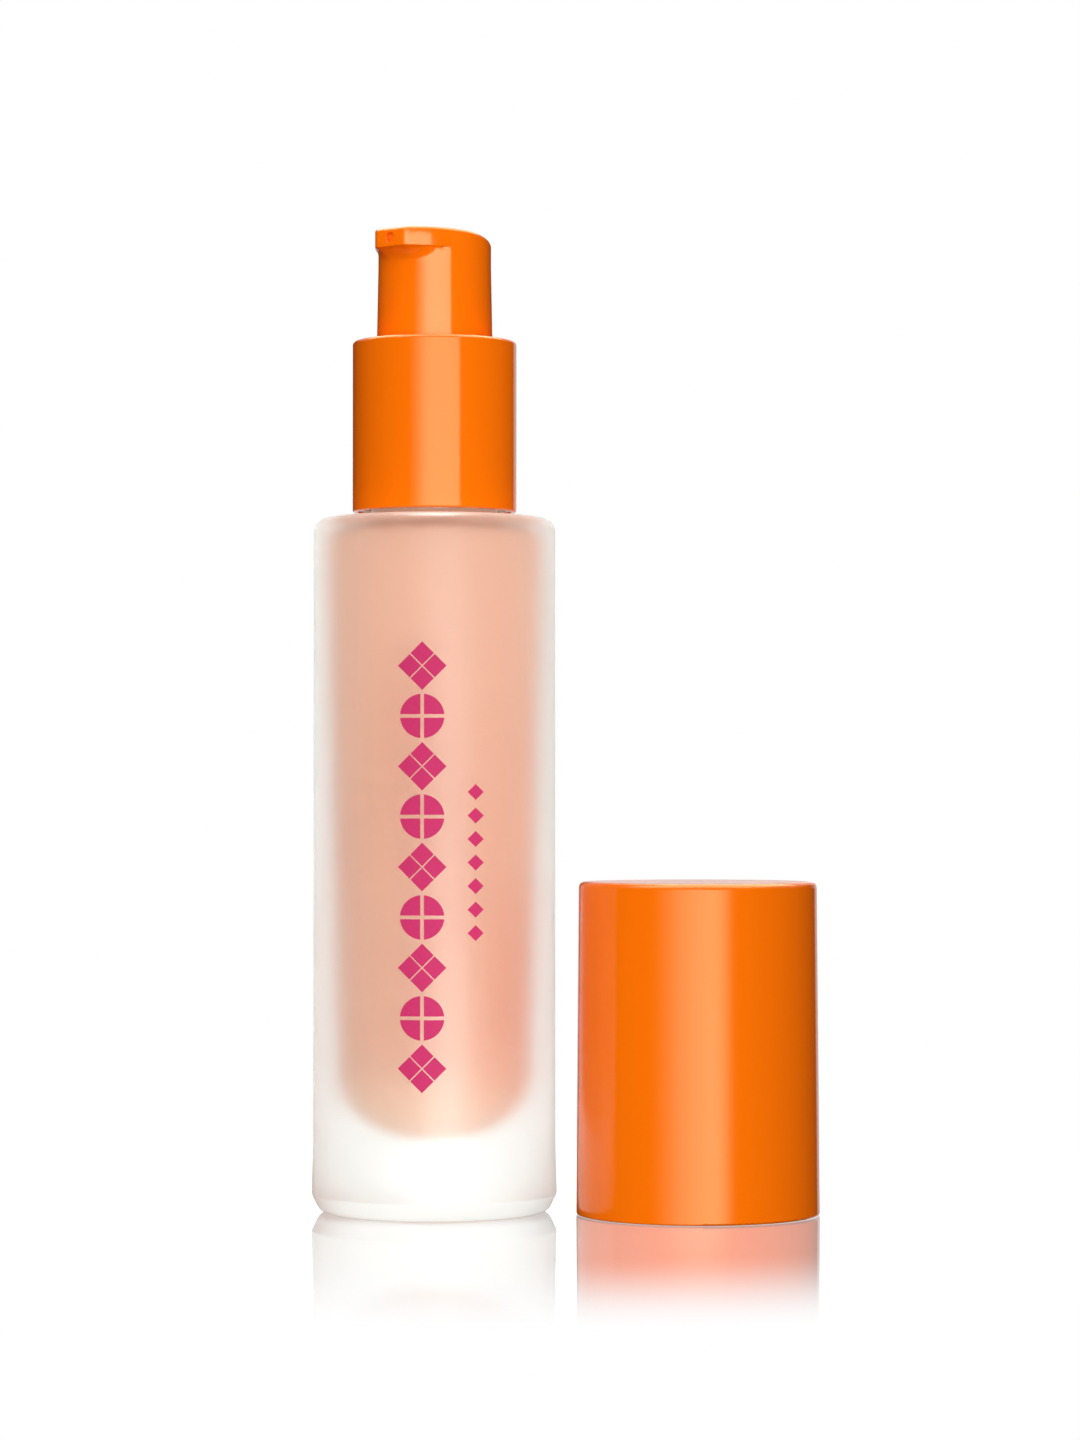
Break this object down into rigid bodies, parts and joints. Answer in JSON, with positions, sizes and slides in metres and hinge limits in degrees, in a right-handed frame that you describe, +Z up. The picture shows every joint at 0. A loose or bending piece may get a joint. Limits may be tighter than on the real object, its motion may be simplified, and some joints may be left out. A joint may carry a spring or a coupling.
{
  "type": "foundation bottle",
  "caption": "Frosted glass foundation bottle with a screw-on treatment pump, orange collar and pump head, and a separate orange overcap.",
  "frame": {"origin": "middle of the bottle's resting ring, on the surface that it stands on", "axes": "+Z up along the bottle's axis, +X towards the overcap that stands beside it, -Y towards the printed front"},
  "size_m": [0.0711, 0.0379, 0.1375],
  "materials": {
    "frosted_glass": "acid-etched outside, clear inside",
    "foundation": "opaque liquid make-up",
    "magenta_ink": "screen-printed ink",
    "foam": "closed-cell foam",
    "white_pp": "moulded polypropylene",
    "natural_pp": "natural moulded polypropylene",
    "tube_pe": "extruded polyethylene",
    "piston_pe": "moulded polyethylene",
    "steel_ball": "polished stainless steel",
    "spring_steel": "drawn stainless wire",
    "orange_gloss": "glossy orange moulding"
  },
  "bodies": {
    "bottle": {"bottle_glass": "frosted_glass", "foundation_fill": "foundation", "printed_motif": "magenta_ink"},
    "pump_engine": {"pump_housing": "natural_pp", "retaining_ring": "natural_pp", "neck_gasket": "foam", "dip_tube": "tube_pe", "ball_retainer": "natural_pp", "return_spring": "spring_steel"},
    "closure": {"screw_closure": "white_pp", "collar_sleeve": "orange_gloss"},
    "inlet_valve": {"inlet_ball": "steel_ball"},
    "stem": {"lower_stem": "natural_pp", "upper_stem": "natural_pp"},
    "piston": {"piston": "piston_pe"},
    "head": {"actuator": "orange_gloss"},
    "overcap": {"overcap_shell": "orange_gloss", "overcap_liner": "white_pp"}
  },
  "joints": [
    {"name": "pump_rise", "type": "slide", "parent": "bottle", "child": "pump_engine", "axis": [0, 0, 1], "range_m": [0, 0.00398]},
    {"name": "closure_turn", "type": "hinge", "parent": "pump_engine", "child": "closure", "pos_m": [0, 0, 0.11], "axis": [0, 0, 1], "range_deg": [0, 450]},
    {"name": "ball_lift", "type": "slide", "parent": "pump_engine", "child": "inlet_valve", "axis": [0, 0, 1], "range_m": [0, 0.0009]},
    {"name": "actuator_press", "type": "slide", "parent": "pump_engine", "child": "stem", "axis": [0, 0, -1], "range_m": [0, 0.004], "stiffness_N_per_m": 400, "springref_m": -0.004, "deforming": ["return_spring"]},
    {"name": "piston_slip", "type": "slide", "parent": "stem", "child": "piston", "axis": [0, 0, 1], "range_m": [0, 0.0007]},
    {"name": "actuator_turn", "type": "hinge", "parent": "stem", "child": "head", "pos_m": [0, 0, 0.125], "axis": [0, 0, 1], "continuous": true},
    {"name": "cap_lift", "type": "slide", "parent": "bottle", "child": "overcap", "axis": [0, 0, 1], "range_m": [0, 0.14]}
  ],
  "couplings": [
    {"joint": "pump_rise", "follows": "closure_turn", "m_per_rad": 0.00050532}
  ]
}
